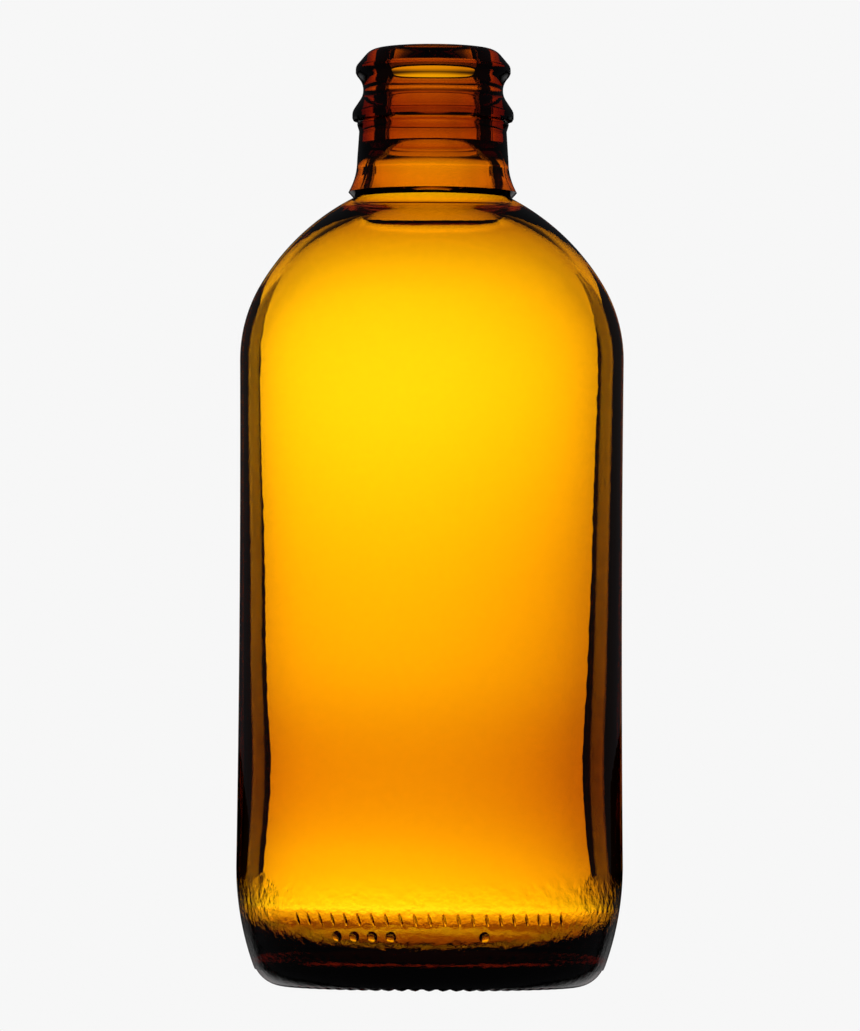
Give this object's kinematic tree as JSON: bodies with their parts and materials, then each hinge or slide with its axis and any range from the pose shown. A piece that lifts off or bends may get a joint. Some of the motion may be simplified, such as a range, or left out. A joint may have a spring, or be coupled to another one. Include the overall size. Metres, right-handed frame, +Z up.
{
  "type": "glass soda bottle",
  "caption": "Empty amber glass soda bottle with a domed shoulder, a short flared neck and a crown-cap finish, open at the mouth.",
  "frame": {"origin": "centre of the base, on the plane that the bottle stands on", "axes": "+Z up along the bottle's axis, towards the mouth; the row of pips on the heel faces -Y"},
  "size_m": [0.0662, 0.066, 0.1606],
  "materials": {
    "amber_glass": "clear gloss"
  },
  "bodies": {
    "root": {"glass_bottle": "amber_glass"}
  },
  "joints": []
}
